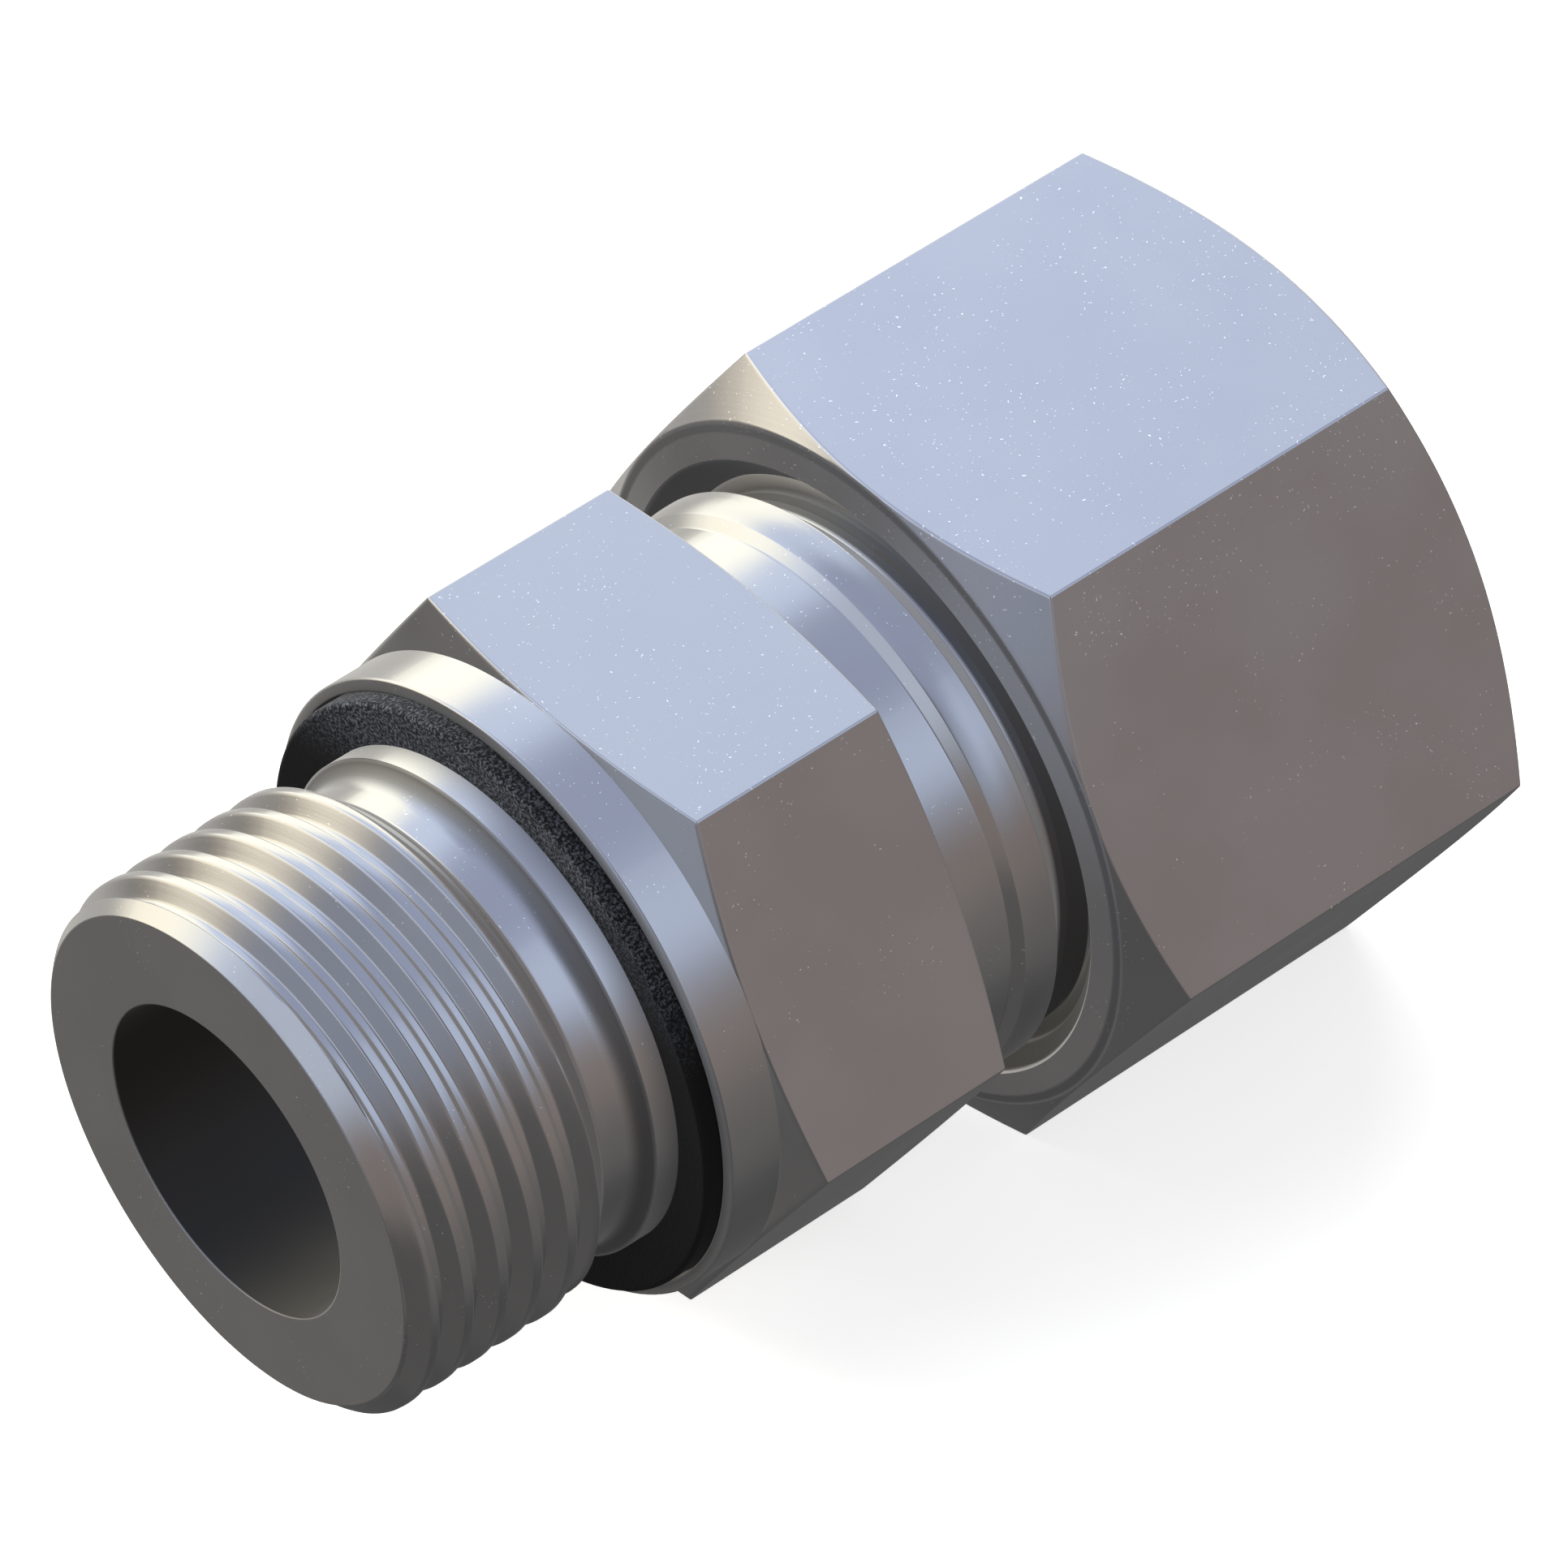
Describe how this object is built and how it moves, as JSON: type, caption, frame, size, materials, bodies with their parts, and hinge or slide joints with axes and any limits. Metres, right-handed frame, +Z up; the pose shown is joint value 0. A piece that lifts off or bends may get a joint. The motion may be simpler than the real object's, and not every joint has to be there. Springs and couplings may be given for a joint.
{
  "type": "tube fitting",
  "caption": "Straight male stud fitting for a pipe port: hexagon body with a sealed parallel-thread stud, and a union nut that closes a cutting ring onto a metal tube.",
  "frame": {"origin": "under the middle of the fitting's length, on the surface that the nut's lowest flat rests on", "axes": "+X along the fitting's axis from the threaded stud to the union nut, +Z up from the nut's lowest flat"},
  "size_m": [0.0622, 0.0416, 0.036],
  "materials": {
    "plated_body": "zinc plated turned steel, satin, with fine turning marks and small bright specks",
    "plated_nut": "zinc plated steel, satin, with small bright specks",
    "hardened_ring": "hardened plated steel, fine turned",
    "black_rubber": "matte, slightly grainy"
  },
  "bodies": {
    "body": {"fitting_body": "plated_body", "stud_seal": "black_rubber"},
    "ring": {"cutting_ring": "hardened_ring"},
    "nut": {"union_nut": "plated_nut"}
  },
  "joints": [
    {"name": "nut_travel", "type": "slide", "parent": "body", "child": "ring", "axis": [1, 0, 0], "range_m": [0, 0.0101]},
    {"name": "nut_turn", "type": "hinge", "parent": "ring", "child": "nut", "pos_m": [0, 0, 0.018], "axis": [1, 0, 0], "range_deg": [0, 1800]}
  ],
  "couplings": [
    {"joint": "nut_travel", "follows": "nut_turn", "m_per_rad": 0.00031831}
  ]
}
